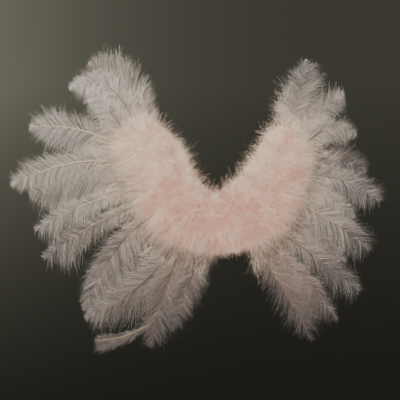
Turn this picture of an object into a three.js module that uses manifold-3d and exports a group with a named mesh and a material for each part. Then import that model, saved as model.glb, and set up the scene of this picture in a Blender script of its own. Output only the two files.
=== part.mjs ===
// Feather costume wings: a felt panel worn on the back, a butterfly of marabou fluff over it, and ostrich plumes
// fanned round its rim. Millimetres, +Z up, +X to the right seen from behind the wearer, who faces +Y.
import * as THREE from 'three';
import { mergeVertices } from 'three/addons/utils/BufferGeometryUtils.js';
import Module from 'manifold-3d';

const wasm = await Module();
wasm.setup();

// Driving sizes
const PANEL_THICKNESS = 3;
const GAP = 0.3;
const QUILL_RADIUS = 2.1;
const PLUME_SEAT = PANEL_THICKNESS + GAP + QUILL_RADIUS;

const VANE_FROM = 28;
const VANE_FULL = 64;
const LOCKS_PER_VANE = 7;
const LOCK_SHAPE = [{ share: 0, width: 0.7 }, { share: 0.35, width: 0.92 }, { share: 0.72, width: 1 }];
const LOCK_SWEEP = 0.13;
const VANE_RIDGE = 2.2;
const VANE_EDGE = 0.7;
const VANE_CAMBER = 0.06;
const BASE_LIFT = 6;
const RISE_FROM = 45;
const RISE_TO = 140;

const FLUFF_BACK = 20;
const FLUFF_INSET = 26;
const FLUFF_PAD_RADIUS = 30;

const STRAP_WIDTH = 20;
const STRAP_THICKNESS = 2;
const STRAP_SEAT = PANEL_THICKNESS + GAP + STRAP_THICKNESS / 2;

// One row for each plume, from the top of a wing round to its bottom. The shaft passes root, middle and tip, each
// [x, z]. lead and trail are the widths of its two vanes, lead on the side of the plume above. rise lifts it off the
// panel, curl brings its tip further back from the wearer, and roll turns the edge of the lead vane that way too.
const PLUMES = [
  { name: 'left_1', root: [-156, 185], middle: [-194, 295], tip: [-295, 372], lead: 53, trail: 43, rise: 0, curl: 40, roll: 0.1 },
  { name: 'left_2', root: [-173, 168], middle: [-252, 305], tip: [-346, 302], lead: 34, trail: 67, rise: 14, curl: 55, roll: 0.12 },
  { name: 'left_3', root: [-185, 151], middle: [-245, 240], tip: [-305, 300], lead: 29, trail: 38, rise: 28, curl: 60, roll: 0.08 },
  { name: 'left_4', root: [-199, 151], middle: [-324, 204], tip: [-446, 207], lead: 43, trail: 48, rise: 10, curl: 50, roll: 0.2 },
  { name: 'left_5', root: [-192, 108], middle: [-324, 127], tip: [-487, 67], lead: 34, trail: 48, rise: 22, curl: 60, roll: 0.1 },
  { name: 'left_6', root: [-187, 79], middle: [-312, 77], tip: [-451, 46], lead: 38, trail: 48, rise: 0, curl: 30, roll: 0.02 },
  { name: 'left_7', root: [-168, 60], middle: [-295, 31], tip: [-434, -38], lead: 36, trail: 43, rise: 14, curl: 50, roll: 0.2 },
  { name: 'left_8', root: [-170, 29], middle: [-295, -26], tip: [-406, -118], lead: 34, trail: 58, rise: 16, curl: 55, roll: 0.2 },
  { name: 'left_9', root: [-144, 0], middle: [-238, -84], tip: [-305, -233], lead: 43, trail: 54, rise: 10, curl: 50, roll: 0.2 },
  { name: 'left_10', root: [-89, -50], middle: [-175, -163], tip: [-305, -235], lead: 44, trail: 60, rise: 20, curl: 60, roll: 0.2 },
  { name: 'left_11', root: [-74, -60], middle: [-120, -180], tip: [-156, -317], lead: 48, trail: 43, rise: 30, curl: 60, roll: 0.2 },
  { name: 'left_12', root: [-12, -60], middle: [-62, -161], tip: [-103, -276], lead: 34, trail: 58, rise: 34, curl: 65, roll: 0.2 },
  { name: 'left_13', root: [-58, -55], middle: [-132, -240], tip: [-295, -302], lead: 7, trail: 34, rise: 0, curl: 5, roll: 0 },
  { name: 'right_1', root: [166, 192], middle: [198, 284], tip: [214, 370], lead: 53, trail: 43, rise: 30, curl: 60, roll: 0.06 },
  { name: 'right_2', root: [180, 156], middle: [252, 252], tip: [314, 290], lead: 25, trail: 31, rise: 0, curl: 28, roll: 0 },
  { name: 'right_3', root: [192, 137], middle: [266, 204], tip: [336, 192], lead: 41, trail: 41, rise: 18, curl: 55, roll: 0.15 },
  { name: 'right_4', root: [199, 118], middle: [288, 130], tip: [365, 103], lead: 34, trail: 29, rise: 0, curl: 35, roll: 0 },
  { name: 'right_5', root: [180, 89], middle: [288, 89], tip: [398, 31], lead: 31, trail: 46, rise: 16, curl: 55, roll: 0.2 },
  { name: 'right_6', root: [180, 67], middle: [269, 48], tip: [331, -10], lead: 19, trail: 30, rise: 16, curl: 50, roll: 0.16 },
  { name: 'right_7', root: [168, 36], middle: [269, -7], tip: [372, -84], lead: 31, trail: 50, rise: 38, curl: 62, roll: 0.2 },
  { name: 'right_8', root: [168, -2], middle: [242, -55], tip: [317, -113], lead: 31, trail: 31, rise: 0, curl: 28, roll: 0 },
  { name: 'right_9', root: [144, -36], middle: [245, -101], tip: [346, -190], lead: 34, trail: 50, rise: 14, curl: 55, roll: 0.2 },
  { name: 'right_10', root: [122, -60], middle: [214, -149], tip: [293, -254], lead: 42, trail: 36, rise: 16, curl: 55, roll: 0.2 },
  { name: 'right_11', root: [91, -65], middle: [168, -180], tip: [230, -302], lead: 38, trail: 46, rise: 20, curl: 60, roll: 0.2 },
];

// Outer edge of the fluff, [x, z], from the bottom of the V round the left lobe, the bottom and the right lobe.
const FLUFF_OUTLINE = [
  [0, 67], [-22, 82], [-41, 113], [-60, 156], [-84, 187], [-113, 216], [-142, 242], [-168, 245], [-209, 223],
  [-238, 190], [-247, 156], [-233, 118], [-209, 79], [-199, 41], [-180, 2], [-156, -31], [-125, -60], [-84, -77],
  [-41, -86], [0, -94], [41, -89], [84, -79], [120, -72], [156, -50], [180, -12], [204, 29], [218, 72], [233, 120],
  [223, 168], [204, 209], [175, 247], [149, 257], [122, 223], [96, 173], [67, 132], [43, 94],
];
// Line along the middle of the fluff, [x, z], from lobe to lobe: every lock points away from it.
const FLUFF_SPINE = [[-176, 160], [-146, 78], [-74, 8], [0, -12], [76, 4], [142, 74], [170, 165]];
// Rings of the domed backing: share is the ring's reach from the spine, front its distance before the flat back.
const FLUFF_RINGS = [
  { share: 0.95, front: 0 },
  { share: 1, front: 9 },
  { share: 0.88, front: 24 },
  { share: 0.6, front: 40 },
  { share: 0.25, front: 50 },
];
// Rows of locks on the backing, from the rim inwards; every size in millimetres but share.
const FLUFF_ROWS = [
  { locks: 32, share: 0.86, front: 13, length: 38, width: 46, thickness: 15, lift: 3 },
  { locks: 20, share: 0.52, front: 38, length: 46, width: 46, thickness: 15, lift: -2 },
  { locks: 14, share: 0.04, front: 48, length: 46, width: 46, thickness: 15, lift: 3 },
];
const FLUFF_PADS = [[0, 5], [-118, 95], [130, 95]];

// Edge of the felt panel, [x, z], from the left end of its straight top round to the right end.
const PANEL_OUTLINE = [
  [-92, 58], [-108, 150], [-136, 205], [-172, 205], [-216, 168], [-214, 120], [-202, 60], [-184, 8], [-152, -40],
  [-104, -68], [0, -73], [110, -74], [152, -48], [182, -4], [204, 50], [216, 110], [206, 165], [182, 205], [146, 205],
  [112, 150], [92, 58], [50, 56], [0, 34], [-50, 56],
];

// Middle line of a shoulder strap, from its upper sewn end over the shoulder and under the arm to its lower end;
// out is the distance from the middle of the back, ahead the distance towards the wearer's front.
const STRAP_ROUTE = [
  { out: 65, ahead: -STRAP_SEAT, up: 22 },
  { out: 65, ahead: -STRAP_SEAT, up: 60 },
  { out: 66, ahead: -1, up: 73 },
  { out: 68, ahead: 14, up: 86 },
  { out: 73, ahead: 45, up: 95 },
  { out: 79, ahead: 80, up: 88 },
  { out: 85, ahead: 108, up: 62 },
  { out: 88, ahead: 120, up: 20 },
  { out: 84, ahead: 110, up: -25 },
  { out: 74, ahead: 82, up: -62 },
  { out: 58, ahead: 44, up: -86 },
  { out: 45, ahead: 12, up: -95 },
  { out: 39, ahead: -1, up: -90 },
  { out: 38, ahead: -STRAP_SEAT, up: -80 },
  { out: 38, ahead: -STRAP_SEAT, up: -42 },
];

const COLOURS = {
  plume: { color: 0xcfc5bd, roughness: 0.85, metalness: 0 },
  fluff: { color: 0xdcbfb2, roughness: 0.95, metalness: 0 },
  felt: { color: 0xd2b3a6, roughness: 0.95, metalness: 0 },
  elastic: { color: 0xe6ded6, roughness: 0.8, metalness: 0 },
};

// A closed skin through rings of points, each ring anticlockwise seen from the last one, with flat ends.
function skin(rings, cap = fanCap) {
  const count = rings[0].length;
  const points = rings.flat().flatMap((point) => [point.x, point.y, point.z]);
  const index = [];
  for (let ring = 0; ring + 1 < rings.length; ring++) {
    for (let k = 0; k < count; k++) {
      const here = ring * count + k;
      const next = ring * count + ((k + 1) % count);
      index.push(here, next, next + count, here, next + count, here + count);
    }
  }
  const last = (rings.length - 1) * count;
  for (const [a, b, c] of cap(rings[0])) index.push(a, c, b);
  for (const [a, b, c] of cap(rings.at(-1))) index.push(last + a, last + b, last + c);
  const geometry = new THREE.BufferGeometry();
  geometry.setAttribute('position', new THREE.Float32BufferAttribute(points, 3));
  geometry.setIndex(index);
  return geometry;
}

// Triangles of a round or flat end, and of an upright end of any outline.
function fanCap(ring) {
  return Array.from({ length: ring.length - 2 }, (_, k) => [0, k + 1, k + 2]);
}

function outlineCap(ring) {
  return THREE.ShapeUtils.triangulateShape(ring.map((point) => new THREE.Vector2(point.x, point.z)), []);
}

function toManifold(geometry) {
  return new wasm.Manifold(new wasm.Mesh({
    numProp: 3,
    vertProperties: new Float32Array(geometry.getAttribute('position').array),
    triVerts: new Uint32Array(geometry.getIndex().array),
  }));
}

function toGeometry(manifold) {
  const mesh = manifold.getMesh();
  const geometry = new THREE.BufferGeometry();
  geometry.setAttribute('position', new THREE.Float32BufferAttribute(mesh.vertProperties, 3));
  geometry.setIndex(Array.from(mesh.triVerts));
  return geometry;
}

function named(name, geometry, material) {
  geometry.computeVertexNormals();
  const mesh = new THREE.Mesh(geometry, new THREE.MeshStandardMaterial(material));
  mesh.name = name;
  return mesh;
}

const flatPoint = ([x, z]) => new THREE.Vector3(x, 0, z);

// One ostrich plume: a bare quill that widens into two vanes, each vane a row of locks swept towards the tip.
function plume(row) {
  const wing = Math.sign(row.root[0]);
  const [root, middle, tip] = [row.root, row.middle, row.tip].map(flatPoint);
  const bend = middle.clone().multiplyScalar(2).addScaledVector(root, -0.5).addScaledVector(tip, -0.5);
  const shaft = new THREE.QuadraticBezierCurve3(root, bend, tip);
  const length = shaft.getLength();

  const place = (along, aside, ahead) => {
    const point = shaft.getPointAt(along);
    const tangent = shaft.getTangentAt(along);
    const lift = BASE_LIFT * THREE.MathUtils.smoothstep(along * length, 10, VANE_FROM + 10);
    const rise = row.rise * THREE.MathUtils.smoothstep(along * length, RISE_FROM, RISE_TO);
    point.x += -wing * tangent.z * aside;
    point.z += wing * tangent.x * aside;
    point.y = -(PLUME_SEAT + lift + rise + row.curl * along ** 2 + ahead);
    return point;
  };
  const quillRing = (distance) => [-30, 30, 90, 150, 210, 270].map((degrees) => {
    const angle = THREE.MathUtils.degToRad(degrees);
    return place(distance / length, QUILL_RADIUS * Math.cos(angle), QUILL_RADIUS * Math.sin(angle));
  });
  const vaneRing = (along, width) => {
    const edgeAlong = along + LOCK_SWEEP * (1 - along);
    const edge = (aside, ahead) => (
      place(edgeAlong, aside, row.roll * aside - VANE_CAMBER * Math.abs(aside) + ahead));
    return [
      edge(row.lead * width, -VANE_EDGE),
      edge(row.lead * width, VANE_EDGE),
      place(along, 0, VANE_RIDGE),
      edge(-row.trail * width, VANE_EDGE),
      edge(-row.trail * width, -VANE_EDGE),
      place(along, 0, -VANE_RIDGE),
    ];
  };

  const rings = [quillRing(0), quillRing(10), quillRing(VANE_FROM * 0.8)];
  for (let lock = 0; lock < LOCKS_PER_VANE; lock++) {
    for (const part of LOCK_SHAPE) {
      const along = THREE.MathUtils.lerp(VANE_FROM / length, 0.985, (lock + part.share) / LOCKS_PER_VANE);
      const grow = THREE.MathUtils.lerp(0.35, 1, THREE.MathUtils.smoothstep(along * length, VANE_FROM, VANE_FULL));
      const close = THREE.MathUtils.lerp(1, 0.3, THREE.MathUtils.smoothstep(along, 0.66, 1));
      rings.push(vaneRing(along, part.width * grow * close));
    }
  }
  rings.push(vaneRing(1, 0.1));
  if (wing < 0) rings.forEach((ring) => ring.reverse());
  return named(`plume_${row.name}`, skin(rings), COLOURS.plume);
}

// A single lock of fluff: a flattened blade that leaves its base along outward and lifts towards its tip.
function lock(base, outward, size) {
  const across = new THREE.Vector3(-outward.z, 0, outward.x);
  const ahead = new THREE.Vector3(0, -1, 0);
  const rings = [[0, 0.8], [0.55, 1], [1, 0.22]].map(([share, full]) => {
    const middle = base.clone().addScaledVector(outward, size.length * share).addScaledVector(ahead, size.lift * share);
    const half = (size.width * full) / 2;
    const thick = (size.thickness * full) / 2;
    return [
      middle.clone().addScaledVector(across, half),
      middle.clone().addScaledVector(ahead, thick),
      middle.clone().addScaledVector(across, -half),
      middle.clone().addScaledVector(ahead, -thick),
    ];
  });
  return skin(rings);
}

// The marabou fluff: a domed backing on three pads that reach the panel, covered in rows of locks.
function fluff() {
  const edge = new THREE.CatmullRomCurve3(FLUFF_OUTLINE.map(flatPoint), true);
  const spine = new THREE.CatmullRomCurve3(FLUFF_SPINE.map(flatPoint)).getSpacedPoints(60);
  const away = (around) => {
    const rim = edge.getPointAt(around);
    const nearest = (best, point) => (point.distanceTo(rim) < best.distanceTo(rim) ? point : best);
    const hub = spine.reduce(nearest);
    const outward = rim.clone().sub(hub).normalize();
    return { hub, outward, reach: rim.distanceTo(hub) - FLUFF_INSET };
  };
  const place = (around, share, front) => {
    const { hub, outward, reach } = away(around);
    const point = hub.clone().addScaledVector(outward, reach * share);
    point.y = -(FLUFF_BACK + front);
    return point;
  };
  const steps = FLUFF_OUTLINE.length;
  const dome = FLUFF_RINGS.map((ring) => (
    Array.from({ length: steps }, (_, k) => place(k / steps, ring.share, ring.front))));
  let body = toManifold(skin(dome, outlineCap));
  for (const [x, z] of FLUFF_PADS) {
    const depth = FLUFF_BACK + 8 - PANEL_THICKNESS - GAP;
    const pad = new THREE.CylinderGeometry(FLUFF_PAD_RADIUS, FLUFF_PAD_RADIUS, depth, 20);
    pad.translate(x, -(PANEL_THICKNESS + GAP) - depth / 2, z);
    body = body.add(toManifold(closed(pad)));
  }
  for (const row of FLUFF_ROWS) {
    for (let k = 0; k < row.locks; k++) {
      const around = k / row.locks;
      body = body.add(toManifold(lock(place(around, row.share, row.front), away(around).outward, row)));
    }
  }
  return named('marabou_body', toGeometry(body), COLOURS.fluff);
}

function closed(geometry) {
  geometry.deleteAttribute('normal');
  geometry.deleteAttribute('uv');
  return mergeVertices(geometry);
}

function panel() {
  const shape = new THREE.Shape(PANEL_OUTLINE.map(([x, z]) => new THREE.Vector2(x, z)));
  const geometry = new THREE.ExtrudeGeometry(shape, { depth: PANEL_THICKNESS, bevelEnabled: false });
  geometry.rotateX(Math.PI / 2);
  return named('base_panel', geometry, COLOURS.felt);
}

// An elastic strap: a flat band that follows its route, flat ends against the panel.
function strap(name, side) {
  const middle = new THREE.CatmullRomCurve3(
    STRAP_ROUTE.map((stop) => new THREE.Vector3(side * stop.out, stop.ahead, stop.up)), false, 'centripetal');
  const steps = 28;
  const rings = Array.from({ length: steps + 1 }, (_, k) => {
    const point = middle.getPoint(k / steps);
    const tangent = middle.getTangent(k / steps);
    const face = new THREE.Vector3(0, -tangent.z, tangent.y).normalize();
    const across = new THREE.Vector3(1, 0, 0);
    return [[1, 1], [1, -1], [-1, -1], [-1, 1]].map(([right, out]) => point.clone()
      .addScaledVector(across, (right * STRAP_WIDTH) / 2)
      .addScaledVector(face, (out * STRAP_THICKNESS) / 2));
  });
  return named(name, skin(rings), COLOURS.elastic);
}

const wings = new THREE.Group();
wings.name = 'feather_costume_wings';
wings.add(panel(), fluff(), ...PLUMES.map(plume));
wings.add(strap('shoulder_strap_left', -1), strap('shoulder_strap_right', 1));

export default wings;
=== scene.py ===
# Feather costume wings, seen from behind the wearer. Metres, +Z up, the wearer faces +Y.
import math

import bmesh
import bpy
import numpy as np
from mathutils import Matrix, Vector


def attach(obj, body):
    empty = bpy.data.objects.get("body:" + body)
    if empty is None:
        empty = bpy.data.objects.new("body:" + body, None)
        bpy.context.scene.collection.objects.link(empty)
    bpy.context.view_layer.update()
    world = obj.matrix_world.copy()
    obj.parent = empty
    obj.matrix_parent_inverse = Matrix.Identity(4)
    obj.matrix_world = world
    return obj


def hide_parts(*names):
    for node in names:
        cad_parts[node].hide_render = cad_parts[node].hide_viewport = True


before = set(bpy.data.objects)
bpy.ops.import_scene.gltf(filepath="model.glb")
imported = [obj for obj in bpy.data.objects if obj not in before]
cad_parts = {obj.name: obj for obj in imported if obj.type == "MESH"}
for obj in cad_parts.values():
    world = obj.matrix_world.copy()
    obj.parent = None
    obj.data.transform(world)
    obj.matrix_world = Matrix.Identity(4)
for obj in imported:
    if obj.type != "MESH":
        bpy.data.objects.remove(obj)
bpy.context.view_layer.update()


# Felt panel
# A flat butterfly of stiff wool felt, 3 mm thick, cut by hand with shears. The quills are glued to its far
# side, and the straps are sewn on with boxes of stitches that show on the side towards the wearer.
MM = 0.001
PANEL_THICKNESS = 3 * MM
PANEL_EDGE_ROUND = 0.7 * MM
PANEL_CUT_STEP = 5 * MM
PANEL_CUT_WOBBLE = 0.35 * MM
PANEL_SEED = 11
PANEL_OUTLINE = MM * np.array([
    [-92, 58], [-108, 150], [-136, 205], [-172, 205], [-216, 168], [-214, 120], [-202, 60], [-184, 8],
    [-152, -40], [-104, -68], [0, -73], [110, -74], [152, -48], [182, -4], [204, 50], [216, 110], [206, 165],
    [182, 205], [146, 205], [112, 150], [92, 58], [50, 56], [0, 34], [-50, 56]])
FELT_PINK = "#d3b1a3"
FELT_DEEP = "#bd978a"
FELT_CLOUD = 14 * MM
FELT_FIBRE = 1.1 * MM
FELT_NAP = 0.5 * MM
# A Mix node's sockets for colours, by number, because those for other types share their names.
COLOUR_A, COLOUR_B, MIXED = 6, 7, 2


def linear(hex_colour):
    """An sRGB hex colour as linear red, green, blue and alpha."""
    shares = [int(hex_colour[k:k + 2], 16) / 255 for k in (1, 3, 5)]
    return [s / 12.92 if s <= 0.04045 else ((s + 0.055) / 1.055) ** 2.4 for s in shares] + [1.0]


def add(tree, kind, inputs=(), **settings):
    """Adds a node with its settings. Each input, by socket name or number, is set to a value, or linked to
    a socket or to the first output of a node."""
    made = tree.nodes.new(kind)
    for key, value in settings.items():
        setattr(made, key, value)
    for key, value in dict(inputs).items():
        if isinstance(value, bpy.types.Node):
            value = value.outputs[0]
        if isinstance(value, bpy.types.NodeSocket):
            tree.links.new(value, made.inputs[key])
        else:
            made.inputs[key].default_value = value
    return made


def new_material(name, constants):
    """A material with its output and its shader, which the constants are set on, and the tree they are in."""
    material = bpy.data.materials.new(name)
    material.use_nodes = True
    tree = material.node_tree
    tree.nodes.clear()
    shader = add(tree, "ShaderNodeBsdfPrincipled", constants)
    add(tree, "ShaderNodeOutputMaterial", {"Surface": shader})
    return material, tree, shader


def new_piece(name, mesh, slot, *nodes):
    """Puts a finished mesh in the scene as a piece that rides with the wings and stands for the nodes."""
    piece = bpy.data.objects.new(name, mesh)
    bpy.context.scene.collection.objects.link(piece)
    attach(piece, "root")
    if nodes:
        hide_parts(*nodes)
    return piece


def plain_mesh(name, points, faces, material):
    """A mesh of the points and faces in one material."""
    mesh = bpy.data.meshes.new(name)
    mesh.from_pydata([tuple(p) for p in points], [], faces)
    mesh.materials.append(material)
    mesh.update()
    return mesh


def walk_round(outline, steps):
    """The points along a closed outline, with each side cut into its number of steps."""
    return np.vstack([a + (b - a) * np.linspace(0, 1, count, endpoint=False)[:, None]
                      for a, b, count in zip(outline, np.roll(outline, -1, axis=0), steps)])


# Pressed wool felt: matte, with a cloudy colour and a fine nap of fibres that catches light at the edges.
felt, tree, shader = new_material("pressed wool felt", {"Roughness": 0.95, "Sheen Weight": 0.25})
place = add(tree, "ShaderNodeTexCoord").outputs["Object"]
cloud = add(tree, "ShaderNodeTexNoise", {"Vector": place, "Scale": 1 / FELT_CLOUD, "Detail": 4.0})
fibre = add(tree, "ShaderNodeTexNoise", {"Vector": place, "Scale": 1 / FELT_FIBRE, "Detail": 5.0})
shade = add(tree, "ShaderNodeMix", {
    "Factor": cloud, COLOUR_A: linear(FELT_DEEP), COLOUR_B: linear(FELT_PINK)}, data_type="RGBA")
nap = add(tree, "ShaderNodeBump", {"Height": fibre, "Strength": 0.55, "Distance": FELT_NAP})
tree.links.new(shade.outputs[MIXED], shader.inputs["Base Color"])
tree.links.new(nap.outputs["Normal"], shader.inputs["Normal"])

chance = np.random.default_rng(PANEL_SEED)
ahead = np.roll(PANEL_OUTLINE, -1, axis=0)
lengths = np.linalg.norm(ahead - PANEL_OUTLINE, axis=1)
edge = walk_round(PANEL_OUTLINE, [max(2, round(length / PANEL_CUT_STEP)) for length in lengths])
edge += chance.normal(0, PANEL_CUT_WOBBLE, edge.shape)
points = [(x, y, z) for y in (-PANEL_THICKNESS, 0) for x, z in edge]
count = len(edge)
faces = [list(range(count)), list(range(2 * count - 1, count - 1, -1))]
faces += [[k, k + count, (k + 1) % count + count, (k + 1) % count] for k in range(count)]
panel = new_piece("felt_panel", plain_mesh("felt_panel", points, faces, felt), "felt", "base_panel")
panel_bevel = panel.modifiers.new("worn cut edge", "BEVEL")
panel_bevel.width = PANEL_EDGE_ROUND
panel_bevel.segments = 2
panel_bevel.limit_method = "ANGLE"


# Thread stitches
# A box of running stitches in pale cotton thread through the felt, over each sewn end of the straps. Each
# stitch dips into the felt at both ends and stands a thread's width above it in the middle.
STITCH_LENGTH = 3.0 * MM
STITCH_PITCH = 4.2 * MM
STITCH_LIFT = 0.15 * MM
THREAD_RADIUS = 0.35 * MM
THREAD_PLY = 0.4 * MM
THREAD_PINK = "#e3cbc0"
# The boxes on the right half, each as the x and z of its lower left and its upper right corner.
STITCH_BOXES = MM * np.array([[57, 27, 73, 53], [30, -68, 46, -46]])


def make_mesh(source, tree, inputs=()):
    """Runs a Geometry Nodes tree on a source mesh and gives the result as a plain mesh."""
    holder = bpy.data.objects.new("source", source)
    bpy.context.scene.collection.objects.link(holder)
    nodes = holder.modifiers.new("make", "NODES")
    nodes.node_group = tree
    for item in tree.interface.items_tree:
        if item.in_out == "INPUT" and item.name in dict(inputs):
            nodes[item.identifier] = dict(inputs)[item.name]
    bpy.context.view_layer.update()
    made = bpy.data.meshes.new_from_object(holder.evaluated_get(bpy.context.evaluated_depsgraph_get()))
    bpy.data.objects.remove(holder)
    return made


def new_tree(name, **inputs):
    """A Geometry Nodes tree with a geometry in and out and named inputs, given as socket type and default."""
    tree = bpy.data.node_groups.new(name, "GeometryNodeTree")
    tree.interface.new_socket("Geometry", in_out="INPUT", socket_type="NodeSocketGeometry")
    tree.interface.new_socket("Geometry", in_out="OUTPUT", socket_type="NodeSocketGeometry")
    for label, (kind, value) in inputs.items():
        socket = tree.interface.new_socket(label, in_out="INPUT", socket_type=kind)
        if value is not None:
            socket.default_value = value
    return tree, add(tree, "NodeGroupInput").outputs


# Mercerised cotton thread: a slight gloss along each stitch, with its plies in two pinks.
thread, tree, shader = new_material("mercerised cotton thread", {"Roughness": 0.55})
place = add(tree, "ShaderNodeTexCoord").outputs["Object"]
ply = add(tree, "ShaderNodeTexNoise", {"Vector": place, "Scale": 1 / THREAD_PLY})
shade = add(tree, "ShaderNodeMix", {
    "Factor": ply, COLOUR_A: linear(FELT_PINK), COLOUR_B: linear(THREAD_PINK)}, data_type="RGBA")
tree.links.new(shade.outputs[MIXED], shader.inputs["Base Color"])

tree, given = new_tree(
    "running_stitches", Pitch=("NodeSocketFloat", STITCH_PITCH), Length=("NodeSocketFloat", STITCH_LENGTH),
    Radius=("NodeSocketFloat", THREAD_RADIUS), Thread=("NodeSocketMaterial", None))
line = add(tree, "GeometryNodeMeshToCurve", {"Mesh": given["Geometry"]})
spots = add(tree, "GeometryNodeCurveToPoints", {"Curve": line, "Length": given["Pitch"]}, mode="LENGTH")
grain = add(tree, "GeometryNodeMeshIcoSphere", {"Radius": 1.0, "Subdivisions": 2})
half = add(tree, "ShaderNodeMath", {0: given["Length"], 1: 0.5}, operation="MULTIPLY")
size = add(tree, "ShaderNodeCombineXYZ", {"X": given["Radius"], "Y": given["Radius"], "Z": half})
sewn = add(tree, "GeometryNodeInstanceOnPoints", {
    "Points": spots, "Instance": grain, "Rotation": spots.outputs["Rotation"], "Scale": size})
solid = add(tree, "GeometryNodeRealizeInstances", {"Geometry": sewn})
dyed = add(tree, "GeometryNodeSetMaterial", {"Geometry": solid, "Material": given["Thread"]})
add(tree, "NodeGroupOutput", {"Geometry": dyed})

corners = [(side * (x1 if far_x else x0), STITCH_LIFT, z1 if far_z else z0)
           for side in (-1, 1) for x0, z0, x1, z1 in STITCH_BOXES
           for far_x, far_z in ((0, 0), (1, 0), (1, 1), (0, 1))]
sides = [(first + k, first + (k + 1) % 4) for first in range(0, len(corners), 4) for k in range(4)]
boxes = bpy.data.meshes.new("stitch boxes")
boxes.from_pydata(corners, sides, [])
new_piece("strap_stitches", make_mesh(boxes, tree, {"Thread": thread}), "elastic")


# Shoulder straps
# Two loops of flat woven elastic, 20 mm wide, with fine lengthwise ribs over their rubber cores. Both ends
# are sewn flat between the felt and the fluff, and each loop passes over a shoulder and back under the arm.
STRAP_WIDTH = 20 * MM
STRAP_THICKNESS = 2 * MM
STRAP_SELVEDGE = 0.3 * STRAP_THICKNESS
STRAP_RIBS = 9
STRAP_RIB_DEPTH = 0.22 * MM
STRAP_STEPS_PER_SPAN = 14
ELASTIC_WHITE = "#e9e2da"
ELASTIC_SHADE = "#c9bfb6"
WEFT_PITCH = 7.54 * MM
WEFT_DEPTH = 0.2 * MM
WEAR_SIZE = 9 * MM
# A Wave texture turns through this many radians along each unit of length and scale.
WAVE_TURN = 20
# How far the sewn ends lie behind the wearer's side of the felt, in millimetres like the route's stops.
STRAP_SEAT = 4.3
STRAP_ROUTE = MM * np.array([
    [65, -STRAP_SEAT, 22], [65, -STRAP_SEAT, 60], [66, -1, 73], [68, 14, 86], [73, 45, 95], [79, 80, 88],
    [85, 108, 62], [88, 120, 20], [84, 110, -25], [74, 82, -62], [58, 44, -84], [45, 12, -91], [39, -1, -87],
    [38, -STRAP_SEAT, -80], [38, -STRAP_SEAT, -42]])


def unit(vectors):
    """The vectors at a length of 1."""
    return vectors / np.maximum(np.linalg.norm(vectors, axis=-1, keepdims=True), 1e-9)


def run_along(line):
    """How far along a line each of its points lies."""
    return np.concatenate([[0], np.cumsum(np.linalg.norm(np.diff(line, axis=0), axis=1))])


def smooth_route(stops, per_span):
    """A centripetal curve through the stops, with its points and tangents."""
    ends = np.vstack([2 * stops[0] - stops[1], stops, 2 * stops[-1] - stops[-2]])
    gaps = np.sqrt(np.linalg.norm(np.diff(ends, axis=0), axis=1))
    points = []
    for k in range(1, len(ends) - 2):
        before, span, after = gaps[k - 1], gaps[k], gaps[k + 1]
        leave = (ends[k] - ends[k - 1]) / before - (ends[k + 1] - ends[k - 1]) / (before + span)
        leave = (leave + (ends[k + 1] - ends[k]) / span) * span
        reach = (ends[k + 1] - ends[k]) / span - (ends[k + 2] - ends[k]) / (span + after)
        reach = (reach + (ends[k + 2] - ends[k + 1]) / after) * span
        t = np.linspace(0, 1, per_span, endpoint=k == len(ends) - 3)[:, None]
        points.append((2 * t**3 - 3 * t**2 + 1) * ends[k] + (t**3 - 2 * t**2 + t) * leave
                      + (3 * t**2 - 2 * t**3) * ends[k + 1] + (t**3 - t**2) * reach)
    points = np.vstack(points)
    return points, unit(np.gradient(points, axis=0))


# Woven elastic: matte yarn, with faint bands across where the weft packs closer, and a cloudy wear.
elastic, tree, shader = new_material("woven elastic", {"Roughness": 0.8, "Sheen Weight": 0.1})
place = add(tree, "ShaderNodeUVMap", uv_map="band").outputs["UV"]
weft = add(tree, "ShaderNodeTexWave", {
    "Vector": place, "Scale": 2 * math.pi / (WAVE_TURN * WEFT_PITCH), "Distortion": 0.6}, bands_direction="Y")
wear = add(tree, "ShaderNodeTexNoise", {"Vector": place, "Scale": 1 / WEAR_SIZE, "Detail": 3.0})
both = add(tree, "ShaderNodeMath", {0: weft.outputs["Fac"], 1: wear}, operation="MULTIPLY")
shade = add(tree, "ShaderNodeMix", {
    "Factor": both, COLOUR_A: linear(ELASTIC_SHADE), COLOUR_B: linear(ELASTIC_WHITE)}, data_type="RGBA")
bump = add(tree, "ShaderNodeBump", {"Height": weft.outputs["Fac"], "Strength": 0.5, "Distance": WEFT_DEPTH})
tree.links.new(shade.outputs[MIXED], shader.inputs["Base Color"])
tree.links.new(bump.outputs["Normal"], shader.inputs["Normal"])

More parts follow.
